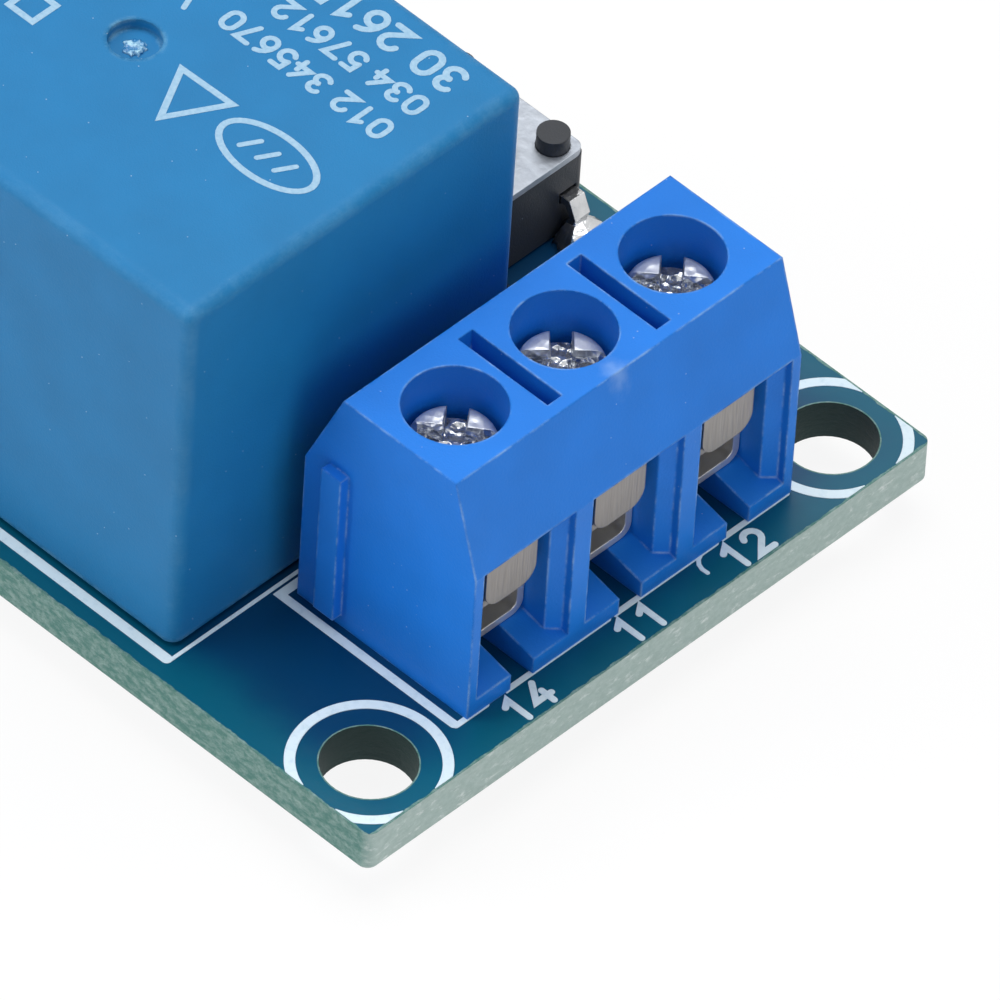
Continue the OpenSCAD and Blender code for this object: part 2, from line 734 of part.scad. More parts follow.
module chip_led() {
    chip_part(0.45);
    translate([0, 0, 0.4]) intersection() {
        linear_extrude(0.45) square([1.3, 1.2], center = true);
        translate([0, 0, -1.3]) sphere(1.7);
    }
}

module power_led() {
    color("firebrick")
    translate([chip_x + power_led_at[0], power_led_at[1], top_z]) chip_led();
}

module relay_led() {
    color("forestgreen")
    translate([chip_x + relay_led_at[0], relay_led_at[1], top_z]) chip_led();
}

// ---------- board and solder ----------

// Every soldered pin: its centre, its size in X and Y, and the diameter of its hole.
pins = concat(
    [for (i = [1 : poles])
        [terminal_x - screw_setback, terminal_y + pole_y(i), contact_pin[0], contact_pin[1], 1.4]],
    [for (p = relay_pins)
        [relay_x + p[0], relay_y + p[1], p[2], p[3], p[3] + 0.35]],
    [for (x = [-1, 1]) for (y = [-1, 1])
        [switch_x + x * (leg_x - 0.1 + leg_thickness / 2), switch_y + y * leg_y,
         leg_thickness, leg_width, 0.95]],
    [for (i = [0 : header_pins_n - 1])
        [header_x, header_y(i), header_pin, header_pin, 1.02]]
);

board_corner_r = 0.4;

module circuit_board() {
    color("teal")
    difference() {
        translate([0, near_edge, 0]) linear_extrude(board_thickness)
            soft_rectangle(board_length, board_width, board_corner_r);
        for (x = [-1, 1]) for (y = [-1, 1])
            translate([x * (board_end - mounting_hole_inset), y * (far_edge - mounting_hole_inset), -cut])
                cylinder(h = board_thickness + 2 * cut, d = mounting_hole_d);
        for (p = pins)
            translate([p[0], p[1], -cut]) cylinder(h = board_thickness + 2 * cut, d = p[4]);
    }
}

module solder_joints() {
    height = tail_length * 0.6;
    pad_ring = 0.35;                 // width of the pad round each hole
    tip_skin = 0.05;                 // solder round the pin at the cone's tip
    color("silver")
    for (p = pins) translate([p[0], p[1], -height]) difference() {
        cylinder(h = height, r1 = norm([p[2], p[3]]) / 2 + tip_skin, r2 = p[4] / 2 + pad_ring);
        translate([-p[2] / 2, -p[3] / 2, -cut]) cube([p[2], p[3], tail_length + cut]);
    }
}

circuit_board();
solder_joints();
terminal_housing();
contact(1);  // contact_1
contact(2);  // contact_2
contact(3);  // contact_3
wire_guard(1);  // wire_guard_1
wire_guard(2);  // wire_guard_2
wire_guard(3);  // wire_guard_3
clamp_screw(1);  // clamp_screw_1
clamp_screw(2);  // clamp_screw_2
clamp_screw(3);  // clamp_screw_3
relay_base();
relay_cover();
relay_bobbin();
relay_winding();
relay_core();
relay_yoke();
relay_armature();
relay_blade();
relay_open_contact();
relay_closed_contact();
relay_common_pin();
relay_coil_pins();
switch_body();
switch_cover();
switch_dome();
switch_button();
switch_legs();
header_block();
header_pins();
controller_chip();
driver_transistor();
flyback_diode();
chip_resistors();
chip_capacitor();
power_led();
relay_led();
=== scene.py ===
import math
from random import Random

import bmesh
import bpy
from mathutils import Matrix, Vector


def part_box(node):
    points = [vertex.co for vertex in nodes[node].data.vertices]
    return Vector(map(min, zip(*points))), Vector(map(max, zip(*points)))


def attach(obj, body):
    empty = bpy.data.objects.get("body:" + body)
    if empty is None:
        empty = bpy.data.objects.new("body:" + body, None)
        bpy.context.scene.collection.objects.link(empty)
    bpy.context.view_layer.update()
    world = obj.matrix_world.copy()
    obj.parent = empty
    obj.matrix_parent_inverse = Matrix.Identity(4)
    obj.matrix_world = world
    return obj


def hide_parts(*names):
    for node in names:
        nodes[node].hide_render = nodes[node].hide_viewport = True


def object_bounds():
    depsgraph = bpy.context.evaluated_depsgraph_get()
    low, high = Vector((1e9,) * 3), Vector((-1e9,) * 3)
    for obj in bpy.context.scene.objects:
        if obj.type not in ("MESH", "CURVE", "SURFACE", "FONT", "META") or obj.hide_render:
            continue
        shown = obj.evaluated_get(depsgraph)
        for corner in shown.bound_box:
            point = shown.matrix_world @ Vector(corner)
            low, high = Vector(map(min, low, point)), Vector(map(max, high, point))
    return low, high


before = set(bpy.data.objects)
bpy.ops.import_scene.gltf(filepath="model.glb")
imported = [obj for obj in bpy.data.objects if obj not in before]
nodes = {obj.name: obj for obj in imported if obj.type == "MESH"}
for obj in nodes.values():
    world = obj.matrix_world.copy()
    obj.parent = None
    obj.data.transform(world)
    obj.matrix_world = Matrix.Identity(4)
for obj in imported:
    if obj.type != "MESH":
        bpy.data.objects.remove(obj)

cad_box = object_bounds()
bpy.context.scene.view_settings.view_transform = "Standard"

# ---------- Camera, table and lights ----------
# A long lens looks down on the terminal's corner. The module stands on its soldered tails on a
# white table, under one broad soft light from above and two weaker ones from the sides.

MM = 0.001
AIM = Vector((17.15, 0.79, 1.6)) * MM
AZIMUTH = math.radians(41.79)
ELEVATION = math.radians(45.82)
ROLL = math.radians(3.84)
DISTANCE = 824.6 * MM
FOCAL_LENGTH = 900
SENSOR_WIDTH = 36

back = Vector((math.sin(AZIMUTH) * math.cos(ELEVATION), -math.cos(AZIMUTH) * math.cos(ELEVATION),
               math.sin(ELEVATION)))
level = (-back).cross(Vector((0, 0, 1))).normalized()
upright = level.cross(-back)
right = level * math.cos(ROLL) + upright * math.sin(ROLL)
up = upright * math.cos(ROLL) - level * math.sin(ROLL)

camera_data = bpy.data.cameras.new("camera")
camera_data.lens = FOCAL_LENGTH
camera_data.sensor_width = SENSOR_WIDTH
camera_data.clip_end = 10
camera = bpy.data.objects.new("camera", camera_data)
facing = Matrix((right, up, back)).transposed().to_4x4()
camera.matrix_world = Matrix.Translation(AIM + back * DISTANCE) @ facing
bpy.context.scene.collection.objects.link(camera)
bpy.context.scene.camera = camera


def hex_rgb(code):
    """An sRGB hex colour as linear red, green, blue and alpha."""
    parts = [int(code[i:i + 2], 16) / 255 for i in (1, 3, 5)]
    return [c / 12.92 if c <= 0.04045 else ((c + 0.055) / 1.055) ** 2.4 for c in parts] + [1]


def add(tree, kind, settings=None, inputs=None):
    """Adds one shader node. An input is a value, or the socket that feeds it."""
    node = tree.nodes.new("ShaderNode" + kind)
    for name, value in (settings or {}).items():
        setattr(node, name, value)
    for key, value in (inputs or {}).items():
        if isinstance(value, bpy.types.NodeSocket):
            tree.links.new(value, node.inputs[key])
        else:
            node.inputs[key].default_value = value
    return node


def new_finish(name, roughness, sockets=None):
    """A material with one Principled shader. Returns it with its node tree and its shader."""
    finish = bpy.data.materials.new(name)
    finish.use_nodes = True
    shader = finish.node_tree.nodes["Principled BSDF"]
    shader.inputs["Roughness"].default_value = roughness
    for socket, value in (sockets or {}).items():
        shader.inputs[socket].default_value = value
    return finish, finish.node_tree, shader


def seen_directly(tree):
    """1 for the rays of the camera, of gloss and of clear pieces, and 0 for the rays that light things."""
    path = add(tree, "LightPath").outputs
    seen = add(tree, "Math", {"operation": "MAXIMUM"}, {0: path["Is Camera Ray"], 1: path["Is Glossy Ray"]})
    seen = add(tree, "Math", {"operation": "MAXIMUM"}, {0: seen.outputs[0], 1: path["Is Transmission Ray"]})
    return seen.outputs[0]


# matt white paint: the eye sees plain white, and under the module its soft shadow
TABLE_WHITENESS = 0.9     # the share of plain white that lies over the shaded paint
table_paint, tree, shader = new_finish("white_table_paint", 0.6, {"Base Color": hex_rgb("#F2F2F2")})
whiteness = add(tree, "Math", {"operation": "MULTIPLY"},
                {0: seen_directly(tree), 1: TABLE_WHITENESS}).outputs[0]
plain_white = add(tree, "Emission", inputs={"Color": (1, 1, 1, 1), "Strength": 1}).outputs[0]
both = add(tree, "MixShader", inputs={0: whiteness, 1: shader.outputs[0], 2: plain_white}).outputs[0]
tree.links.new(both, tree.nodes["Material Output"].inputs["Surface"])

TABLE_SIDE = 2
TABLE_GAP = 0.01 * MM
table_z = cad_box[0].z - TABLE_GAP
table_mesh = bpy.data.meshes.new("table")
table_mesh.from_pydata([(x * TABLE_SIDE / 2, y * TABLE_SIDE / 2, table_z)
                        for x, y in ((-1, -1), (1, -1), (1, 1), (-1, 1))], [], [(0, 1, 2, 3)])
table_mesh.materials.append(table_paint)
table = bpy.data.objects.new("table", table_mesh)
bpy.context.scene.collection.objects.link(table)

TENT_LIGHT = 0.3          # how strongly the white surroundings light the module
world = bpy.data.worlds.new("white_tent")
world.use_nodes = True
bpy.context.scene.world = world
tree = world.node_tree
tent_level = add(tree, "Mix", {"data_type": "FLOAT"},
                 {0: seen_directly(tree), 2: TENT_LIGHT, 3: 1.0}).outputs[0]
tree.links.new(tent_level, tree.nodes["Background"].inputs["Strength"])
tree.nodes["Background"].inputs["Color"].default_value = (1, 1, 1, 1)

# name, place in mm, side in mm, power in watts
for name, place, side, power in (("top_light", (-60, 60, 420), 320, 1.4),
                                 ("left_light", (-260, -330, 260), 260, 1.05),
                                 ("right_light", (380, -60, 240), 200, 0.38)):
    lamp = bpy.data.lights.new(name, "AREA")
    lamp.shape = "SQUARE"
    lamp.size = side * MM
    lamp.energy = power
    light = bpy.data.objects.new(name, lamp)
    light.location = Vector(place) * MM
    light.rotation_mode = "QUATERNION"
    light.rotation_quaternion = (light.location - AIM).to_track_quat("Z", "Y")
    bpy.context.scene.collection.objects.link(light)


# ---------- Circuit board ----------
# A 1.6 mm glass and epoxy laminate with blue solder mask on both faces, sawn to its outline.
# The saw leaves pale broken fibres on the edges. The drilled walls are smooth, and painted dark green-black
# for the shade inside the holes.

def place_in_mm(tree):
    """Where a point of the piece lies, in mm. A pattern's scale is then 1 / the size of its grain in mm."""
    place = add(tree, "TexCoord").outputs["Object"]
    return add(tree, "VectorMath", {"operation": "SCALE"}, {0: place, "Scale": 1 / MM}).outputs[0]


def give_relief(tree, shader, height, depth, edge):
    """Raises the surface by height x depth in mm, over edges rounded by a radius in mm."""
    rounded = add(tree, "Bevel", {"samples": 4}, {"Radius": edge * MM}).outputs[0]
    relief = add(tree, "Bump", inputs={"Strength": 1, "Distance": depth * MM, "Height": height,
                                       "Normal": rounded}).outputs[0]
    tree.links.new(relief, shader.inputs["Normal"])
    return rounded


def give_two_tones(tree, shader, share, first, second):
    """Colours the surface with the first hex colour where share is 0 and the second where it is 1."""
    colour = add(tree, "Mix", {"data_type": "RGBA"},
                 {0: share, 6: hex_rgb(first), 7: hex_rgb(second)}).outputs[2]
    tree.links.new(colour, shader.inputs["Base Color"])


def coat(finish, *names):
    """Gives the named solids this finish."""
    for name in names:
        nodes[name].material_slots[0].material = finish


board_end, board_side, board_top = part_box("circuit_board")[1] / MM
HOLE_INSET = 2.4          # from the board's edges to the middle of each mounting hole
HOLE_RADIUS = 1.65
MASK_SETBACK = 0.09       # the mask stops about this far inside the sawn edges
RIM_SETBACK = 0.05        # and this far outside a drilled rim
SAWN_DEPTH = 0.45         # a wall deeper inside the board than this is a drilled one

laminate, tree, shader = new_finish("solder_masked_glass_laminate", 0.3,
                                    {"IOR": 1.52, "Specular IOR Level": 0.3})
where = place_in_mm(tree)
# how far a point lies inside the board's ends and its long sides
rooms = []
for axis, half_size in ((0, board_end), (1, board_side)):
    along = add(tree, "SeparateXYZ", inputs={0: where}).outputs[axis]
    off_middle = add(tree, "Math", {"operation": "ABSOLUTE"}, {0: along}).outputs[0]
    rooms.append(add(tree, "Math", {"operation": "SUBTRACT"}, {0: half_size, 1: off_middle}).outputs[0])
end_room, side_room = rooms
edge_room = add(tree, "Math", {"operation": "MINIMUM"}, {0: end_room, 1: side_room}).outputs[0]

# the mask lies on the faces only, with a ragged rim along the edges and a clean one round the holes
normal = add(tree, "SeparateXYZ", inputs={0: add(tree, "NewGeometry").outputs["True Normal"]}).outputs
end_facing = add(tree, "Math", {"operation": "ABSOLUTE"}, {0: normal[0]}).outputs[0]
flatness = add(tree, "Math", {"operation": "ABSOLUTE"}, {0: normal[2]}).outputs[0]
is_face = add(tree, "Math", {"operation": "GREATER_THAN"}, {0: flatness, 1: 0.5}).outputs[0]
is_wall = add(tree, "Math", {"operation": "SUBTRACT"}, {0: 1, 1: is_face}).outputs[0]
ragged = add(tree, "TexNoise", inputs={"Vector": where, "Scale": 1 / 0.4545, "Detail": 3}).outputs[0]
setback = add(tree, "Math", {"operation": "MULTIPLY"}, {0: ragged, 1: 2 * MASK_SETBACK}).outputs[0]
inside = add(tree, "Math", {"operation": "GREATER_THAN"}, {0: edge_room, 1: setback}).outputs[0]
hole_offset = [add(tree, "Math", {"operation": "SUBTRACT"}, {0: HOLE_INSET, 1: room}).outputs[0]
               for room in rooms]
hole_offset = add(tree, "CombineXYZ", inputs={0: hole_offset[0], 1: hole_offset[1]}).outputs[0]
to_hole = add(tree, "VectorMath", {"operation": "LENGTH"}, {0: hole_offset}).outputs["Value"]
off_rim = add(tree, "Math", {"operation": "GREATER_THAN"},
              {0: to_hole, 1: HOLE_RADIUS + RIM_SETBACK}).outputs[0]
masked = is_face
for limit in (inside, off_rim):
    masked = add(tree, "Math", {"operation": "MULTIPLY"}, {0: masked, 1: limit}).outputs[0]

# the mask is navy in the middle and greener towards the edges: partly the copper sheet under it, which stops
# short of the edges, and partly a painted reflection of the dark relay and terminal in the glossy mask
corner_room = add(tree, "Math", {"operation": "SMOOTH_MIN"}, {0: end_room, 1: side_room, 2: 1.5}).outputs[0]
flow = add(tree, "TexNoise", inputs={"Vector": where, "Scale": 1 / 2, "Detail": 2}).outputs[0]
flow = add(tree, "MapRange", inputs={0: flow, 3: -0.7, 4: 0.7}).outputs[0]
copper_and_reflection_room = add(tree, "Math", {"operation": "ADD"}, {0: corner_room, 1: flow}).outputs[0]
# this share is partly the copper under the mask and partly the painted reflection of the dark pieces
copper_and_reflection_share = add(tree, "MapRange", {"interpolation_type": "SMOOTHSTEP"},
                  {0: copper_and_reflection_room, 1: 0.2, 2: 2.9}).outputs[0]
mask_colour = add(tree, "Mix", {"data_type": "RGBA"},
                  {0: copper_and_reflection_share, 6: hex_rgb("#005870"), 7: hex_rgb("#003A60")}).outputs[2]

# sawn edges: glass bundles about 0.4 mm long in thinner layers, with pale flecks at the two ends, partly
# broken glass and partly painted glints
layers = add(tree, "VectorMath", {"operation": "MULTIPLY"}, {0: where, 1: (1, 1, 1.8)}).outputs[0]
fibres = add(tree, "TexNoise", inputs={"Vector": layers, "Scale": 1 / 0.4167, "Detail": 6,
                                       "Roughness": 0.75}).outputs[0]
sawn = add(tree, "Mix", {"data_type": "RGBA"},
           {0: end_facing, 6: hex_rgb("#4C7C74"), 7: hex_rgb("#A3B8B3")}).outputs[2]
fibre_share = add(tree, "MapRange", inputs={0: fibres, 1: 0.42, 2: 0.75, 4: 0.42}).outputs[0]
sawn = add(tree, "Mix", {"data_type": "RGBA"}, {0: fibre_share, 6: sawn, 7: hex_rgb("#D5E2DE")}).outputs[2]
along_edge = add(tree, "VectorMath", {"operation": "MULTIPLY"}, {0: where, 1: (1, 0.7, 1.7)}).outputs[0]
chips_and_glints = add(tree, "TexNoise", inputs={"Vector": along_edge, "Scale": 1 / 0.5, "Detail": 6,
                                      "Roughness": 0.7}).outputs[0]
# the near-white flecks on the end faces are partly broken glass and partly painted glints
chip_and_glint_share = add(tree, "MapRange", inputs={0: chips_and_glints, 1: 0.55, 2: 0.72, 4: 0.8}).outputs[0]
chip_and_glint_share = add(tree, "Math", {"operation": "MULTIPLY"}, {0: chip_and_glint_share, 1: end_facing}).outputs[0]
sawn = add(tree, "Mix", {"data_type": "RGBA"}, {0: chip_and_glint_share, 6: sawn, 7: hex_rgb("#EAF0EE")}).outputs[2]
# drilled walls: their dark green-black is painted shade inside the holes
shaded_hole_wall = add(tree, "Math", {"operation": "GREATER_THAN"}, {0: edge_room, 1: SAWN_DEPTH}).outputs[0]
shaded_hole_wall = add(tree, "Math", {"operation": "MULTIPLY"}, {0: shaded_hole_wall, 1: is_wall}).outputs[0]
bare = add(tree, "Mix", {"data_type": "RGBA"}, {0: shaded_hole_wall, 6: sawn, 7: hex_rgb("#14302F")}).outputs[2]

colour = add(tree, "Mix", {"data_type": "RGBA"}, {0: masked, 6: bare, 7: mask_colour}).outputs[2]
tree.links.new(colour, shader.inputs["Base Color"])
gloss = add(tree, "MapRange", inputs={0: masked, 3: 0.62, 4: 0.3}).outputs[0]
tree.links.new(gloss, shader.inputs["Roughness"])
ripple = add(tree, "TexNoise", inputs={"Vector": where, "Scale": 1 / 0.9091, "Detail": 2}).outputs[0]
faint_ripple = add(tree, "Math", {"operation": "MULTIPLY"}, {0: ripple, 1: 0.4}).outputs[0]
uneven = add(tree, "Mix", {"data_type": "FLOAT"}, {0: masked, 2: fibres, 3: faint_ripple}).outputs[0]
give_relief(tree, shader, uneven, 0.05, 0.06)
coat(laminate, "circuit_board")


# ---------- Printing on the board ----------
# White epoxy ink, screened on in lines about 0.4 mm wide: a frame round the relay and the
# terminal, a ring round each mounting hole, and a plain number at each pole.

def fit_piece(form, name, finish, body, smooth=None):
    """Makes a piece of a form drawn in mm. Faces that meet at less than smooth degrees blend."""
    bmesh.ops.scale(form, vec=(MM, MM, MM), verts=form.verts)
    mesh = bpy.data.meshes.new(name)
    form.to_mesh(mesh)
    form.free()
    mesh.materials.append(finish)
    if smooth:
        mesh.shade_smooth()
        mesh.set_sharp_from_angle(angle=math.radians(smooth))
    piece = bpy.data.objects.new(name, mesh)
    bpy.context.scene.collection.objects.link(piece)
    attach(piece, body)
    return piece


def raise_outline(form, outline, low, high):
    """A solid with this flat outline, in mm, between two heights."""
    bottom = [form.verts.new((p[0], p[1], low)) for p in outline]
    top = [form.verts.new((p[0], p[1], high)) for p in outline]
    form.faces.new(top)
    form.faces.new(bottom[::-1])
    for i in range(len(outline)):
        j = (i + 1) % len(outline)
        form.faces.new((bottom[i], bottom[j], top[j], top[i]))


def print_line(form, points, width, low, high):
    """A printed line of that width along the points, with mitred corners and round ends."""
    points = [Vector(p) for p in points]
    closed = (points[0] - points[-1]).length < 1e-6
    if closed:
        points.pop()
    count = len(points)
    left = []
    right = []
    for i, point in enumerate(points):
        came = (point - points[i - 1]).normalized() if i or closed else None
        goes = (points[(i + 1) % count] - point).normalized() if i < count - 1 or closed else None
        across = ((came or goes) + (goes or came)).normalized().orthogonal()
        stretch = 1 / across.dot((came or goes).orthogonal())
        left.append(point + across * width / 2 * stretch)
        right.append(point - across * width / 2 * stretch)
    if closed:
        for i in range(count):
            j = (i + 1) % count
            raise_outline(form, [left[i], left[j], right[j], right[i]], low, high)
        return

    def round_end(end, neighbour):
        ahead = (end - neighbour).normalized() * width / 2
        side = ahead.orthogonal()
        angles = [math.pi * i / 8 for i in range(1, 8)]
        return [end + side * math.cos(a) + ahead * math.sin(a) for a in angles]

    outline = left + round_end(points[-1], points[-2]) + right[::-1] + round_end(points[0], points[1])
    raise_outline(form, outline, low, high)


# the ink is chalky white, and bluish where it lies thin
ink, tree, shader = new_finish("screened_epoxy_ink", 0.5, {"IOR": 1.5, "Specular IOR Level": 0.3})
where = place_in_mm(tree)
mottle = add(tree, "TexNoise", inputs={"Vector": where, "Scale": 1 / 0.25, "Detail": 4}).outputs[0]
thin_ink = add(tree, "MapRange", inputs={0: mottle, 1: 0.5, 2: 0.75, 4: 0.35}).outputs[0]
give_two_tones(tree, shader, thin_ink, "#DDEEF5", "#A6C6D6")
give_relief(tree, shader, mottle, 0.01, 0.02)

INK_HEIGHT = 0.02
OVERLAP = 0.001           # where lines cross, each lies this much above the one before
RELAY_LINE = 0.4
TERMINAL_LINE = 0.34
FRONT_LINE = 0.22
THIN_LINE = 0.14          # between relay and terminal only a thin line has room
print_low = board_top - INK_HEIGHT
print_high = board_top + INK_HEIGHT
terminal_low, terminal_high = [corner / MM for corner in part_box("terminal_housing")]
relay_low, relay_high = [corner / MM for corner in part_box("relay_cover")]
form = bmesh.new()

relay_back = relay_low.x - 0.35
relay_front = relay_high.x + 0.15
relay_near = relay_low.y - 0.4
relay_far = relay_high.y + 0.3
print_line(form, [(relay_front, relay_near), (relay_back, relay_near), (relay_back, relay_far),
                  (relay_front, relay_far)], RELAY_LINE, print_low, print_high)
thin_x = relay_high.x + 0.27
print_line(form, [(thin_x, relay_near), (thin_x, relay_far)], THIN_LINE, print_low, print_high + OVERLAP)

# the terminal's frame is left open where the ring of the mounting hole comes near
FAR_LINE_STOP = 1.5       # the far line and the front line end this far before the hole's middle
FRONT_LINE_STOP = 2.9
hole_x = board_end - HOLE_INSET
hole_y = board_side - HOLE_INSET
terminal_back = terminal_low.x - 0.33
terminal_front = terminal_high.x + 0.05 - FRONT_LINE / 2
terminal_near = terminal_low.y - 0.05
terminal_far = terminal_high.y + 0.3
print_line(form, [(terminal_front - 0.1, terminal_near), (terminal_back, terminal_near),
                  (terminal_back, terminal_far), (hole_x - FAR_LINE_STOP, terminal_far)],
           TERMINAL_LINE, print_low, print_high)
# the front line is broken behind each foot of the terminal, and its ends turn in
POLES = (1, 2, 3)
POLE_PITCH = 5.08
TERMINAL_MIDDLE = 0.47
FOOT_OFFSET = 0.62
FOOT_GAP = 0.35
for pole in POLES:
    start = TERMINAL_MIDDLE + (pole - 2) * POLE_PITCH - FOOT_OFFSET
    stop = min(start + POLE_PITCH - FOOT_GAP, hole_y - FRONT_LINE_STOP)
    print_line(form, [(terminal_front - 0.4, start), (terminal_front, start), (terminal_front, stop)],
               FRONT_LINE, print_low, print_high + OVERLAP)
print_line(form, [(terminal_front, terminal_near), (terminal_front, terminal_near + 1.4)],
           FRONT_LINE, print_low, print_high + 2 * OVERLAP)

RING_INNER = 2.41
RING_OUTER = 2.79
RING_STEPS = 180
EDGE_GAP = 0.08           # the rings are cut off this far inside the board's edges
for side_x in (-1, 1):
    for side_y in (-1, 1):
        centre = Vector((side_x * hole_x, side_y * hole_y))
        last = None
        for step in range(RING_STEPS + 1):
            angle = 2 * math.pi * step / RING_STEPS
            ray = Vector((math.cos(angle), math.sin(angle)))
            reach = RING_OUTER
            for outward in (ray.x * side_x, ray.y * side_y):
                if outward > 1e-6:
                    reach = min(reach, (HOLE_INSET - EDGE_GAP) / outward)
            pair = (centre + ray * RING_INNER, centre + ray * reach) if reach > RING_INNER + 0.02 else None
            if pair and last:
                raise_outline(form, [*last, *pair[::-1]], print_low, print_high + 4 * OVERLAP)
            last = pair


def bow(x, y, wide, tall, start, stop, step=20):
    """Points along an oval bow between two angles in degrees, one for about each step."""
    count = max(2, round(abs(stop - start) / step))
    angles = [math.radians(start + (stop - start) * i / count) for i in range(count + 1)]
    return [(x + wide * math.cos(a), y + tall * math.sin(a)) for a in angles]


# strokes of the plain digits, in a box 1 high
DIGITS = {
    "0": [bow(0.31, 0.66, 0.31, 0.34, 0, 180) + bow(0.31, 0.34, 0.31, 0.34, 180, 360) + [(0.62, 0.66)]],
    "1": [[(0.1, 0.8), (0.38, 1), (0.38, 0)]],
    "2": [bow(0.32, 0.7, 0.3, 0.3, 165, -40) + [(0.02, 0), (0.64, 0)]],
    "3": [bow(0.3, 0.75, 0.27, 0.25, 150, -80), bow(0.3, 0.27, 0.31, 0.27, 85, -150)],
    "4": [[(0.5, 1), (0, 0.3), (0.68, 0.3)], [(0.5, 0.56), (0.5, 0)]],
    "5": [[(0.58, 1), (0.1, 1), (0.06, 0.54)], bow(0.3, 0.32, 0.31, 0.32, 130, -150)],
    "6": [bow(0.31, 0.31, 0.3, 0.31, 180, -180), bow(0.62, 0.34, 0.61, 0.66, 180, 100)],
    "7": [[(0, 1), (0.62, 1), (0.2, 0)]],
}
DIGIT_WIDTH = 0.62
WIDTH_OF_ONE = 0.66       # a 1 is given a little more room than the other digits
SPACE_WIDTH = 0.45
DIGIT_GAP = 0.09


def print_number(form, number, at, size, stroke, low, high):
    """Prints plain digits: at(u, v) places a point u along the row and v up, in mm."""
    offset = 0
    for digit in number:
        if digit == " ":
            offset += SPACE_WIDTH * size
            continue
        for layer, points in enumerate(DIGITS[digit]):
            print_line(form, [at(offset + u * size, v * size) for u, v in points], stroke, low,
                       high + layer * OVERLAP)
        width = WIDTH_OF_ONE if digit == "1" else DIGIT_WIDTH
        offset += width * size + stroke + DIGIT_GAP * size


NUMBER_HEIGHT = 1.04
NUMBER_STROKE = 0.24
number_foot = board_end - 0.24
for number, start in (("14", -5.95), ("11", -0.7), ("12", 4.3)):
    print_number(form, number, lambda u, v: (number_foot - v, start + u), NUMBER_HEIGHT, NUMBER_STROKE,
                 print_low, print_high + 3 * OVERLAP)
# a short pale arc printed in the same ink: its middle, its half width and height, and its two ends in degrees
PALE_INK_ARC = (24.0, 4.0, 0.6, 0.6, 195, 285)
print_line(form, bow(*PALE_INK_ARC), 0.16, print_low, print_high)
fit_piece(form, "board_print", ink, "module")


# ---------- Small surface-mounted pieces ----------
# A controller chip, a transistor and a diode in moulded epoxy, chip resistors, one chip
# capacitor and two lamps. They are soldered flat on the board before the tall pieces go in.

def give_moulded_skin(tree, shader, base, worn, grain, edge, wear):
    """A moulded plastic's colour, fine grain of that size in mm, and edges that wear lightens."""
    where = place_in_mm(tree)
    skin = add(tree, "TexNoise", inputs={"Vector": where, "Scale": 1 / grain, "Detail": 3}).outputs[0]
    rounded = give_relief(tree, shader, skin, 0.012, edge)
    # wear: it shows where an edge is rounded, in patches about 1 mm across
    true_normal = add(tree, "NewGeometry").outputs["True Normal"]
    meeting = add(tree, "VectorMath", {"operation": "DOT_PRODUCT"},
                  {0: rounded, 1: true_normal}).outputs["Value"]
    worn_share = add(tree, "MapRange", inputs={0: meeting, 1: 0.9995, 2: 0.9}).outputs[0]
    scuff = add(tree, "TexNoise", inputs={"Vector": where, "Scale": 1 / 1.25, "Detail": 6,
                                          "Roughness": 0.75}).outputs[0]
    scuff = add(tree, "MapRange", inputs={0: scuff, 1: 0.44, 2: 0.64}).outputs[0]
    for factor in (scuff, wear):
        worn_share = add(tree, "Math", {"operation": "MULTIPLY"}, {0: worn_share, 1: factor}).outputs[0]
    # slow clouds of darker and paler plastic, about 3 mm across
    cloud = add(tree, "TexNoise", inputs={"Vector": where, "Scale": 1 / 2.857, "Detail": 2}).outputs[0]
    shade = add(tree, "MapRange", inputs={0: cloud, 1: 0.3, 2: 0.7, 3: 0.94, 4: 1.05}).outputs[0]
    tinted = add(tree, "Mix", {"data_type": "RGBA", "blend_type": "MULTIPLY"},
                 {0: 1, 6: hex_rgb(base), 7: shade}).outputs[2]
    colour = add(tree, "Mix", {"data_type": "RGBA"}, {0: worn_share, 6: tinted, 7: hex_rgb(worn)}).outputs[2]
    # dust: specks about 0.05 mm across, at most one to a cell of 0.67 mm
    speck = add(tree, "TexVoronoi", inputs={"Vector": where, "Scale": 1 / 0.6667,
                                            "Randomness": 1}).outputs["Distance"]
    dust = add(tree, "Math", {"operation": "LESS_THAN"}, {0: speck, 1: 0.035}).outputs[0]
    dust = add(tree, "Math", {"operation": "MULTIPLY"}, {0: dust, 1: 0.45}).outputs[0]
    colour = add(tree, "Mix", {"data_type": "RGBA"}, {0: dust, 6: colour, 7: hex_rgb("#C9D9E8")}).outputs[2]
    tree.links.new(colour, shader.inputs["Base Color"])


def give_metal_ends(tree, shader, middles, reach):
    """Tins the piece beyond that reach, in mm along X, from the nearest of its middles."""
    along = add(tree, "SeparateXYZ", inputs={0: place_in_mm(tree)}).outputs[0]
    nearest = None
    for middle in middles:
        off = add(tree, "Math", {"operation": "SUBTRACT"}, {0: along, 1: middle}).outputs[0]
        off = add(tree, "Math", {"operation": "ABSOLUTE"}, {0: off}).outputs[0]
        if nearest:
            off = add(tree, "Math", {"operation": "MINIMUM"}, {0: off, 1: nearest}).outputs[0]
        nearest = off
    tinned_end = add(tree, "Math", {"operation": "GREATER_THAN"}, {0: nearest, 1: reach}).outputs[0]
    body_colour = shader.inputs["Base Color"].links[0].from_socket
    both = add(tree, "Mix", {"data_type": "RGBA"},
               {0: tinned_end, 6: body_colour, 7: hex_rgb("#CFCFCF")}).outputs[2]
    tree.links.new(both, shader.inputs["Base Color"])
    tree.links.new(tinned_end, shader.inputs["Metallic"])
    gloss = add(tree, "MapRange", inputs={0: tinned_end, 3: 0.5, 4: 0.28}).outputs[0]
    tree.links.new(gloss, shader.inputs["Roughness"])


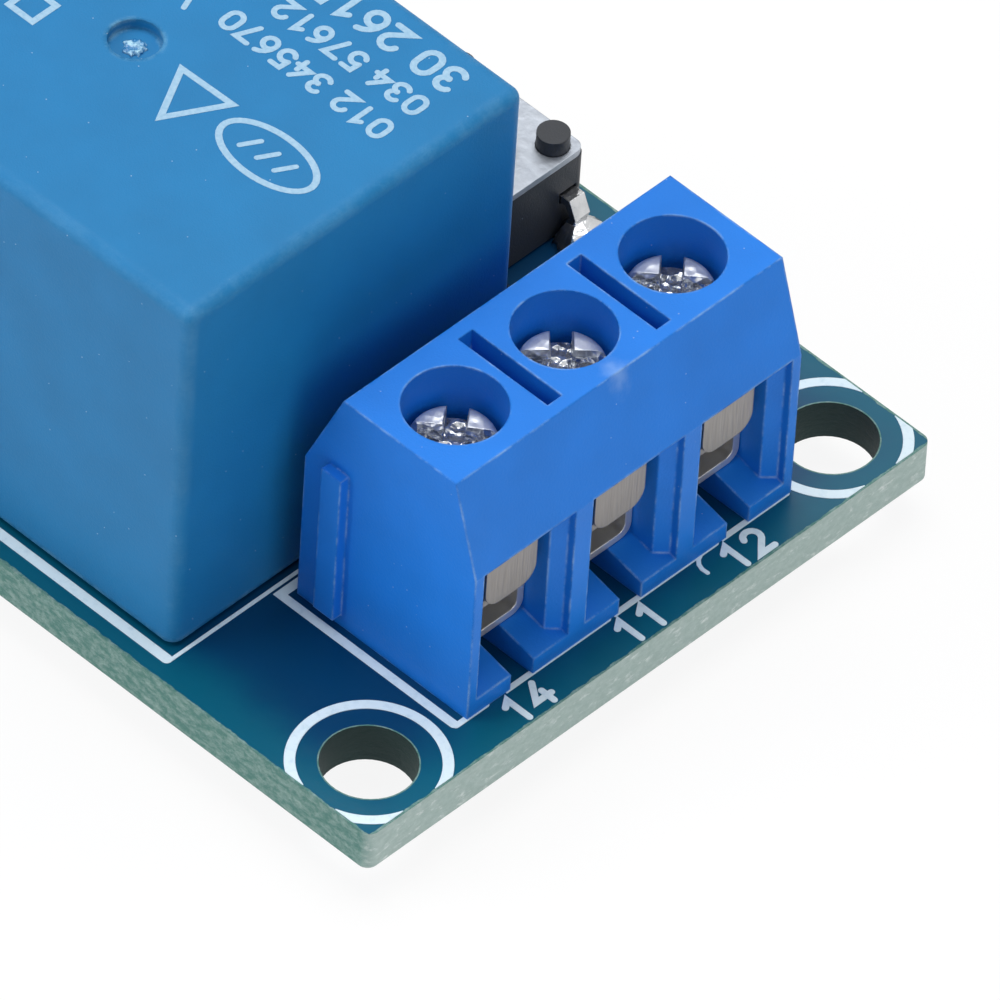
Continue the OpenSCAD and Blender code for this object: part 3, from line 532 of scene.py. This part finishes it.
# matt bodies of epoxy or ceramic between bright tinned ends: solid, body and edge colours,
# how far the body reaches from its middle in mm, and how many columns of bodies the solid has
for name, base, worn, reach, columns in (("controller_chip", "#232427", "#6A6D72", 1.96, 1),
                                         ("driver_transistor", "#232427", "#6A6D72", 0.66, 1),
                                         ("flyback_diode", "#26272A", "#6A6D72", 2.16, 1),
                                         ("chip_resistors", "#191A1C", "#5A5D62", 0.62, 2),
                                         ("chip_capacitor", "#A98A62", "#D0BA98", 0.62, 1),
                                         ("power_led", "#D8372A", "#F5A59A", 0.66, 1),
                                         ("relay_led", "#3DA648", "#A3E2AA", 0.66, 1)):
    part_low, part_high = [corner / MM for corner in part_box(name)]
    middles = [(part_low.x + part_high.x) / 2] if columns == 1 else [part_low.x + 1, part_high.x - 1]
    finish, tree, shader = new_finish("tin_ended_" + name, 0.5, {"IOR": 1.55})
    give_moulded_skin(tree, shader, base, worn, 0.06, 0.05, 0.25)
    give_metal_ends(tree, shader, middles, reach)
    coat(finish, name)

# tin alloy, melted: it freezes smooth and bright, with slight ripples
solder, tree, shader = new_finish("melted_tin_solder", 0.2, {"Metallic": 1})
where = place_in_mm(tree)
frozen = add(tree, "TexNoise", inputs={"Vector": where, "Scale": 1 / 0.5556, "Detail": 3}).outputs[0]
give_two_tones(tree, shader, frozen, "#A9ACAF", "#E4E5E6")
give_relief(tree, shader, frozen, 0.08, 0.05)

# the soldered pads under the ends of each small piece, drawn as flat plates a little proud of the mask
PAD_HEIGHT = 0.05
PAD_FOOT = 0.02


def loft(form, rings):
    """A closed skin over a stack of rings with as many points each. The first and last are capped."""
    stack = [[form.verts.new(p) for p in ring] for ring in rings]
    for lower, upper in zip(stack, stack[1:]):
        for i in range(len(lower)):
            j = (i + 1) % len(lower)
            form.faces.new((lower[i], lower[j], upper[j], upper[i]))
    form.faces.new(stack[0][::-1])
    form.faces.new(stack[-1])


def lay_pad(form, x, y, length, width):
    """One flat pad with slightly pulled-in top edges, centred on a place in mm."""
    loft(form, [[(x + a * (length / 2 - inset), y + b * (width / 2 - inset), board_top + z)
                 for a, b in ((-1, -1), (1, -1), (1, 1), (-1, 1))]
                for inset, z in ((0, -PAD_FOOT), (0, PAD_HEIGHT / 2), (0.06, PAD_HEIGHT))])


PAD_INSET = 0.25          # from a piece's end to the middle of its pad
CHIP_PAD = (0.9, 1.4)
form = bmesh.new()
# the solid, how far its rows of pads lie from its middle, and each pad's length and width
for name, rows, pad_size in (("controller_chip", (-1.905, -0.635, 0.635, 1.905), (1.5, 0.62)),
                             ("flyback_diode", (0,), (1.6, 1.8)), ("chip_capacitor", (0,), CHIP_PAD),
                             ("power_led", (0,), CHIP_PAD), ("relay_led", (0,), CHIP_PAD)):
    part_low, part_high = [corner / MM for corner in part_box(name)]
    for end in (part_low.x + PAD_INSET, part_high.x - PAD_INSET):
        for row in rows:
            lay_pad(form, end, (part_low.y + part_high.y) / 2 + row, *pad_size)
# the transistor has one lead on one side and two on the other
part_low, part_high = [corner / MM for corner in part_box("driver_transistor")]
for x, row in ((part_high.x - 0.2, 0), (part_low.x + 0.2, -0.95), (part_low.x + 0.2, 0.95)):
    lay_pad(form, x, (part_low.y + part_high.y) / 2 + row, 1, 0.7)
# three resistors stand in one column and one in the other, at these places along Y
part_low, part_high = [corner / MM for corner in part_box("chip_resistors")]
for middle, places in ((part_low.x + 1, (4.8, 2.2, -0.4)), (part_high.x - 1, (-0.6,))):
    for end in (middle - 0.75, middle + 0.75):
        for y in places:
            lay_pad(form, end, y, *CHIP_PAD)
fit_piece(form, "surface_pads", solder, "module")


# ---------- Inside the relay ----------
# A coil of enamelled copper on a nylon bobbin round a soft iron core. The yoke carries the armature,
# whose blade moves between two fixed contacts. The cover hides all of it.

# uncoloured nylon: ivory, and slightly see-through at thin walls
nylon, tree, shader = new_finish("moulded_bobbin_nylon", 0.5, {"IOR": 1.53, "Subsurface Weight": 0.1})
give_moulded_skin(tree, shader, "#E6DFCB", "#F7F3E8", 0.1, 0.08, 0.3)
coat(nylon, "relay_bobbin")

# enamelled wire: dark red-brown, with a painted highlight as a paler line along each turn
WIRE = 0.12               # drawn twice as thick as the real wire, so that the turns show
WAVE_REPEAT = 0.3125      # the wave pattern repeats after this much at a scale of 1
copper, tree, shader = new_finish("enamelled_copper_wire", 0.25, {"Metallic": 1})
turns = add(tree, "TexWave", {"bands_direction": "Z"},
            {"Vector": place_in_mm(tree), "Scale": WAVE_REPEAT / WIRE, "Distortion": 0.3}).outputs["Fac"]
# the paler tone of each band is a painted highlight on the turn
give_two_tones(tree, shader, turns, "#5E2410", "#B5582B")
give_relief(tree, shader, turns, 0.05, 0.02)
coat(copper, "relay_winding")

# annealed iron: mid grey, with a faint mottled scale
iron, tree, shader = new_finish("annealed_soft_iron", 0.42, {"Metallic": 1})
scale = add(tree, "TexNoise", inputs={"Vector": place_in_mm(tree), "Scale": 1 / 0.4, "Detail": 4}).outputs[0]
give_two_tones(tree, shader, scale, "#767A80", "#A3A6AB")
give_relief(tree, shader, scale, 0.02, 0.05)
coat(iron, "relay_core", "relay_yoke", "relay_armature")

# rolled bronze: warm gold-brown, streaked along the strip
bronze, tree, shader = new_finish("rolled_contact_bronze", 0.3, {"Metallic": 1})
rolled = add(tree, "VectorMath", {"operation": "MULTIPLY"}, {0: place_in_mm(tree), 1: (0.5, 6, 6)}).outputs[0]
rolling = add(tree, "TexNoise", inputs={"Vector": rolled, "Scale": 1 / 0.6667, "Detail": 3}).outputs[0]
give_two_tones(tree, shader, rolling, "#A87443", "#D3A066")
give_relief(tree, shader, rolling, 0.015, 0.04)
coat(bronze, "relay_blade", "relay_open_contact", "relay_closed_contact")

# hot-tinned brass: near white, with soft waves that bend what it mirrors
tinned, tree, shader = new_finish("bright_tinned_brass", 0.28,
                                  {"Base Color": hex_rgb("#E2DFD8"), "Metallic": 0.75})
waves = add(tree, "TexNoise", inputs={"Vector": place_in_mm(tree), "Scale": 1 / 1.111,
                                      "Detail": 3}).outputs[0]
give_relief(tree, shader, waves, 0.09, 0.06)
coat(tinned, "relay_common_pin", "relay_coil_pins")


# ---------- Relay base and cover ----------
# The works stand on a base that is sealed with dark resin, poured in. The cover is a deep box
# moulded in blue polyester and pushed over both.

# poured resin: nearly black, with a slow swell that gives broad dull lights
sealing, tree, shader = new_finish("dark_sealing_resin", 0.4, {"IOR": 1.55})
pooled = add(tree, "TexNoise", inputs={"Vector": place_in_mm(tree), "Scale": 1 / 2, "Detail": 2}).outputs[0]
give_two_tones(tree, shader, pooled, "#10263E", "#1D4468")
give_relief(tree, shader, pooled, 0.1, 0.05)
coat(sealing, "relay_base")

# duller and greener than the terminal will be, with wide soft edges
polyester, tree, shader = new_finish("moulded_blue_polyester", 0.5, {"IOR": 1.57, "Specular IOR Level": 0.2})
give_moulded_skin(tree, shader, "#1873AA", "#8FC6E4", 0.07, 0.32, 0.7)
coat(polyester, "relay_cover")


# ---------- Printing on the relay ----------
# Such a cover is printed with a soft pad. Plain digits and plain shapes stand here in the places of
# the real print: three rows, an oval with bars, a triangle, a square and a short bar.

# ink dabbed on with a soft pad: matt, pale blue and a little grainy
pad_ink, tree, shader = new_finish("pad_printed_ink", 0.6, {"IOR": 1.5, "Specular IOR Level": 0.2})
where = place_in_mm(tree)
grainy = add(tree, "TexNoise", inputs={"Vector": where, "Scale": 1 / 0.1429, "Detail": 3}).outputs[0]
give_two_tones(tree, shader, grainy, "#7FA9C9", "#AECCE0")
give_relief(tree, shader, grainy, 0.01, 0.02)

cover_top = relay_high.z
pad_low = cover_top - INK_HEIGHT
pad_high = cover_top + INK_HEIGHT / 2
form = bmesh.new()
# rows of plain digits, read towards -X: where the row starts, its foot, size, stroke and digits
for start_x, foot_y, size, stroke, number in ((12.95, -0.88, 0.84, 0.2, "012 345670"),
                                              (12.98, 0.74, 0.84, 0.2, "034 57612"),
                                              (13.0, 2.55, 1.1, 0.24, "30 2615")):
    print_number(form, number, lambda u, v: (start_x - u, foot_y - v), size, stroke, pad_low, pad_high)
# plain marks: the oval, the triangle and the square, then the oval's bars and the short bar
OVAL_MIDDLE = (11.1, -4.88)
MARK_STROKE = 0.24
BAR_STROKE = 0.2
for points in (bow(*OVAL_MIDDLE, 2.0, 1.05, 0, 360, 8),
               [(7.47, -6.2), (6.35, -4.1), (8.65, -4.05), (7.47, -6.2)],
               [(0.4, -5.05), (0.4, -6.15), (1.5, -6.15), (1.5, -5.05), (0.4, -5.05)]):
    print_line(form, points, MARK_STROKE, pad_low, pad_high)
for offset in (-0.8, 0, 0.8):
    bar_x = OVAL_MIDDLE[0] + offset
    bar_y = OVAL_MIDDLE[1]
    print_line(form, [(bar_x - 0.18, bar_y - 0.32), (bar_x + 0.18, bar_y + 0.32)], BAR_STROKE,
               pad_low, pad_high)
print_line(form, [(4.4, -2.05), (4.25, -1.65)], BAR_STROKE, pad_low, pad_high)
fit_piece(form, "relay_print", pad_ink, "module")


# ---------- Vent nub ----------
# The cover's vent ends in a round dimple. A torn bit of the moulding's gate seals it, glossy
# where it broke, with a painted glint in its pale patches.

nub_plastic, tree, shader = new_finish("broken_gate_plastic", 0.18, {"IOR": 1.57})
where = place_in_mm(tree)
torn = add(tree, "TexNoise", inputs={"Vector": where, "Scale": 1 / 0.2222, "Detail": 3}).outputs[0]
# the pale patches on the nub are a painted glint
nub_glint_share = add(tree, "MapRange", inputs={0: torn, 1: 0.4, 2: 0.62}).outputs[0]
give_two_tones(tree, shader, nub_glint_share, "#1F76B0", "#A9D6EC")
give_relief(tree, shader, torn, 0.12, 0.03)
DIMPLE_DEPTH = 0.4
DIMPLE_PLACE = (4.35, -4.24)
NUB_STEPS = 24
chance = Random(7)
nub_angles = [2 * math.pi * k / NUB_STEPS for k in range(NUB_STEPS)]
ragged_edge = [chance.uniform(0.8, 1.2) for _ in nub_angles]
form = bmesh.new()
loft(form, [[(DIMPLE_PLACE[0] + radius * lump * math.cos(a), DIMPLE_PLACE[1] + radius * lump * math.sin(a),
              cover_top - DIMPLE_DEPTH + z + chance.uniform(-0.02, 0.02))
             for a, lump in zip(nub_angles, ragged_edge)]
            for radius, z in ((0.42, -0.04), (0.4, 0.05), (0.3, 0.12), (0.18, 0.1), (0.07, 0.14))])
fit_piece(form, "vent_gate_nub", nub_plastic, "module", 30)


# ---------- Push switch ----------
# A black moulded body with four posts, riveted over a stamped steel cover. A snap dome lies under
# the button, and four tin-dipped legs are bent down the sides.

# black polyamide: charcoal rather than black, with greyed edges
black_polyamide, tree, shader = new_finish("moulded_black_polyamide", 0.45,
                                           {"IOR": 1.53, "Specular IOR Level": 0.3})
give_moulded_skin(tree, shader, "#303338", "#7A7F86", 0.08, 0.08, 0.35)
coat(black_polyamide, "switch_body", "switch_button")

# stamped tinplate: satin grey, unevenly dulled by the press
tinplate, tree, shader = new_finish("stamped_tinplate", 0.42, {"Metallic": 0.85})
where = place_in_mm(tree)
dulled = add(tree, "TexNoise", inputs={"Vector": where, "Scale": 1 / 0.3333, "Detail": 5}).outputs[0]
give_two_tones(tree, shader, dulled, "#8E949E", "#B4BAC2")
give_relief(tree, shader, dulled, 0.02, 0.05)
coat(tinplate, "switch_cover", "switch_dome")


# ---------- Input header ----------
# Three gold-flashed square pins, pressed through a black moulded strip at the board's input end.
# They stand up for a plug, and their tails are soldered below.

# glass-filled polyester: deep black with a soft sheen
header_polyester, tree, shader = new_finish("moulded_header_polyester", 0.4, {"IOR": 1.55})
give_moulded_skin(tree, shader, "#18191B", "#5D6166", 0.08, 0.06, 0.3)
coat(header_polyester, "header_block")

# a thin gold flash over drawn brass: bright yellow, patchy where the flash is thinnest
gold, tree, shader = new_finish("gold_flashed_brass", 0.25, {"Metallic": 1})
where = place_in_mm(tree)
flashed = add(tree, "TexNoise", inputs={"Vector": where, "Scale": 1 / 0.4, "Detail": 3}).outputs[0]
give_two_tones(tree, shader, flashed, "#C79B41", "#EBC873")
give_relief(tree, shader, flashed, 0.015, 0.06)
coat(gold, "header_pins")


# ---------- Terminal housing ----------
# One moulding of flame-proofed polyamide, which is pressed over the three clamps. It comes from the
# tool with sharp, bright edges that scuff white, and a fine matt skin.

# strong blue, half matt: the faces show flat colour, and the worn edges pale lines
polyamide, tree, shader = new_finish("moulded_blue_polyamide", 0.45,
                                     {"IOR": 1.53, "Specular IOR Level": 0.22})
give_moulded_skin(tree, shader, "#1878DA", "#9CC6F7", 0.09, 0.13, 0.95)
# a stress mark, where the moulding was once bent at the top edge beside the middle bore
STRESS_PLACE = (22.3, 0.36, 11.78)
STRESS_STRETCH = (1.1, 1.7, 0.9)
where = place_in_mm(tree)
from_mark = add(tree, "VectorMath", {"operation": "SUBTRACT"}, {0: where, 1: STRESS_PLACE}).outputs[0]
from_mark = add(tree, "VectorMath", {"operation": "MULTIPLY"}, {0: from_mark, 1: STRESS_STRETCH}).outputs[0]
far_off = add(tree, "VectorMath", {"operation": "LENGTH"}, {0: from_mark}).outputs["Value"]
cracking = add(tree, "TexNoise", inputs={"Vector": where, "Scale": 1 / 0.3846, "Detail": 4}).outputs[0]
far_off = add(tree, "Math", {"operation": "ADD"}, {0: far_off, 1: cracking}).outputs[0]
whitened = add(tree, "MapRange", {"interpolation_type": "SMOOTHSTEP"},
               {0: far_off, 1: 1.6, 2: 0.4, 4: 0.28}).outputs[0]
skin_colour = shader.inputs["Base Color"].links[0].from_socket
marked = add(tree, "Mix", {"data_type": "RGBA"},
             {0: whitened, 6: skin_colour, 7: hex_rgb("#B5D5F7")}).outputs[2]
tree.links.new(marked, shader.inputs["Base Color"])
coat(polyamide, "terminal_housing")


# ---------- Clamp boxes ----------
# Each pole has a box pressed from brass strip, with its solder pins. It is hot-tinned like the
# relay's pins, so it takes the same finish.

coat(tinned, *[f"contact_{pole}" for pole in POLES])


# ---------- Wire guards ----------
# A leaf of nickel-plated spring steel in each box. It lies between the screw and the wire, and the
# screw lifts and lowers it.

# rolled strip under nickel: warm grey, with fine upright scratches, drawn about 0.1 mm apart to show
guard_steel, tree, shader = new_finish("brushed_nickel_plated_steel", 0.42, {"Metallic": 1})
drawn = add(tree, "VectorMath", {"operation": "MULTIPLY"}, {0: place_in_mm(tree), 1: (1, 7, 0.4)}).outputs[0]
brushing = add(tree, "TexNoise", inputs={"Vector": drawn, "Scale": 1 / 0.6667, "Detail": 4}).outputs[0]
give_two_tones(tree, shader, brushing, "#8F8A86", "#ABA6A2")
give_relief(tree, shader, brushing, 0.02, 0.05)
coat(guard_steel, *[f"wire_guard_{pole}" for pole in POLES])


# ---------- Clamp screws ----------
# A headed, zinc-plated steel screw in each box, with a cross recess and a rolled thread. Its
# driver has left the cross burred.

HEAD_RADIUS = 1.5
HEAD_HEIGHT = 1.3
HEAD_RISE = 0.27          # the domed head stands this far above the flat solid's
CROSS_WIDTH = 0.72
CROSS_DEPTH = 0.75
screw_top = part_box("clamp_screw_1")[1].z / MM + HEAD_RISE

# zinc plating: a smooth, bright top, and a cross that the driver has dented, with painted shade in dark
# patches down in the cross
screw_steel, tree, shader = new_finish("zinc_plated_screw_steel", 0.36, {"Metallic": 0.75})
where = place_in_mm(tree)
plating = add(tree, "TexNoise", inputs={"Vector": where, "Scale": 1 / 0.2857, "Detail": 5,
                                        "Roughness": 0.65}).outputs[0]
height_up = add(tree, "SeparateXYZ", inputs={0: where}).outputs[2]
in_cross = add(tree, "MapRange", inputs={0: height_up, 1: screw_top - 0.1, 2: screw_top - 0.45}).outputs[0]
facing_up = add(tree, "SeparateXYZ", inputs={0: add(tree, "NewGeometry").outputs["True Normal"]}).outputs[2]
burred = add(tree, "MapRange", inputs={0: facing_up, 1: 0.95, 2: 0.6, 3: 0.12, 4: 1}).outputs[0]
burred = add(tree, "Math", {"operation": "MAXIMUM"}, {0: burred, 1: in_cross}).outputs[0]
dents = add(tree, "TexVoronoi", {"feature": "SMOOTH_F1"},
            {"Vector": where, "Scale": 1 / 0.3704, "Smoothness": 0.2}).outputs[0]
dent_height = add(tree, "Math", {"operation": "MULTIPLY"}, {0: dents, 1: burred}).outputs[0]
give_relief(tree, shader, dent_height, 0.3, 0.05)
# dark patches down in the cross recess: painted shade of its crevices
cross_crevice_shade = add(tree, "MapRange", inputs={0: plating, 1: 0.4, 2: 0.52, 3: 0.65, 4: 0}).outputs[0]
cross_crevice_shade = add(tree, "Math", {"operation": "MULTIPLY"}, {0: cross_crevice_shade, 1: in_cross}).outputs[0]
plated_colour = add(tree, "Mix", {"data_type": "RGBA"},
                    {0: plating, 6: hex_rgb("#B2B7BD"), 7: hex_rgb("#ECEDEE")}).outputs[2]
screw_colour = add(tree, "Mix", {"data_type": "RGBA"},
                   {0: cross_crevice_shade, 6: plated_colour, 7: hex_rgb("#6C788C")}).outputs[2]
tree.links.new(screw_colour, shader.inputs["Base Color"])
gloss = add(tree, "MapRange", inputs={0: in_cross, 3: 0.36, 4: 0.14}).outputs[0]
tree.links.new(gloss, shader.inputs["Roughness"])


THREAD_PITCH = 0.45
CREST_RADIUS = 1.24
ROOT_RADIUS = 1.04
THREAD_STEPS = 32         # points in one turn of the thread
CORNER_STEPS = 12         # points round each quarter of the head
full_turn = [2 * math.pi * i / 48 for i in range(48)]
for pole, cross_angle in zip(POLES, (38, 46, 41)):
    solid_low, solid_high = [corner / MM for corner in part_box(f"clamp_screw_{pole}")]
    axis = (solid_low + solid_high) / 2
    head_top = solid_high.z + HEAD_RISE
    cross_floor = head_top - CROSS_DEPTH
    head_foot = head_top - HEAD_HEIGHT
    form = bmesh.new()
    loft(form, [[(radius * math.cos(a), radius * math.sin(a), z) for a in full_turn]
                for radius, z in ((CREST_RADIUS, head_foot), (HEAD_RADIUS - 0.1, head_foot),
                                  (HEAD_RADIUS, head_foot + 0.1), (HEAD_RADIUS, cross_floor))])
    # four quarters of the domed head stand round the cross recess
    for quarter in range(4):
        turn = Matrix.Rotation(math.radians(cross_angle + 90 * quarter), 3, "Z")
        rings = []
        for inset, drop in ((0, CROSS_DEPTH + 0.02), (0, 0.22), (0.05, 0.12),
                            (0.13, 0.05), (0.25, 0.01), (0.5, 0)):
            radius = HEAD_RADIUS - inset
            side = CROSS_WIDTH / 2 + min(inset, 0.13) * 0.4
            first = math.asin(side / radius)
            sweep = (math.pi / 2 - 2 * first) / CORNER_STEPS
            rim = [first + sweep * k for k in range(CORNER_STEPS + 1)]
            outline = [(side, side)] + [(radius * math.cos(a), radius * math.sin(a)) for a in rim]
            rings.append([turn @ Vector((x, y, head_top - drop)) for x, y in outline])
        loft(form, rings)
    # the thread: a crest and a root that climb together round the shank, up to the head
    turns = int((head_foot - solid_low.z) / THREAD_PITCH)
    thread = []
    for step in range((turns + 1) * THREAD_STEPS + 1):
        a = 2 * math.pi * step / THREAD_STEPS
        climb = solid_low.z + THREAD_PITCH * (step / THREAD_STEPS - 1)
        thread.append([form.verts.new((radius * math.cos(a), radius * math.sin(a),
                                       min(max(climb + lift, solid_low.z), head_foot)))
                       for radius, lift in ((ROOT_RADIUS, 0), (CREST_RADIUS, THREAD_PITCH / 2))])
    for step, ((root, crest), (next_root, next_crest)) in enumerate(zip(thread, thread[1:])):
        form.faces.new((root, next_root, next_crest, crest))
        if step + THREAD_STEPS + 1 < len(thread):
            root_above = thread[step + THREAD_STEPS][0]
            next_above = thread[step + THREAD_STEPS + 1][0]
            form.faces.new((crest, next_crest, next_above, root_above))
    loft(form, [[(ROOT_RADIUS * math.cos(a), ROOT_RADIUS * math.sin(a), z) for a in full_turn]
                for z in (solid_low.z, solid_low.z + 0.05)])
    bmesh.ops.translate(form, vec=(axis.x, axis.y, 0), verts=form.verts)
    screw = fit_piece(form, f"crosshead_screw_{pole}", screw_steel, f"screw_{pole}", 35)
    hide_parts(f"clamp_screw_{pole}")


# ---------- Solder joints ----------
# Last, every pin is soldered from below. The solder rises through the board's plated holes, and it
# stands in a lumpy cone round each of the switch's four dipped legs.

coat(solder, "solder_joints", "switch_legs")

LEG_WIDTH = 0.7
LEG_INSET = 0.2
FILLET_STEPS = 32
leg_low, leg_high = [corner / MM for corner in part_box("switch_legs")]
form = bmesh.new()
for x, away in ((leg_low.x + LEG_INSET, -1), (leg_high.x - LEG_INSET, 1)):
    for y in (leg_low.y + LEG_WIDTH / 2, leg_high.y - LEG_WIDTH / 2):
        lumps = [chance.uniform(0.9, 1.12) for _ in range(FILLET_STEPS)]
        rings = []
        for radius, z, lean in ((1.12, -0.02, 0.45), (1.08, 0.14, 0.43), (0.94, 0.42, 0.36),
                                (0.7, 0.68, 0.26), (0.42, 0.9, 0.12), (0.2, 1.02, 0.02)):
            ring = []
            for k in range(FILLET_STEPS):
                a = 2 * math.pi * k / FILLET_STEPS
                ring.append((x + away * lean + radius * lumps[k] * math.cos(a),
                             y + radius * lumps[(k + 5) % FILLET_STEPS] * math.sin(a), board_top + z))
            rings.append(ring)
        loft(form, rings)
fit_piece(form, "switch_solder_fillets", solder, "module", 60)
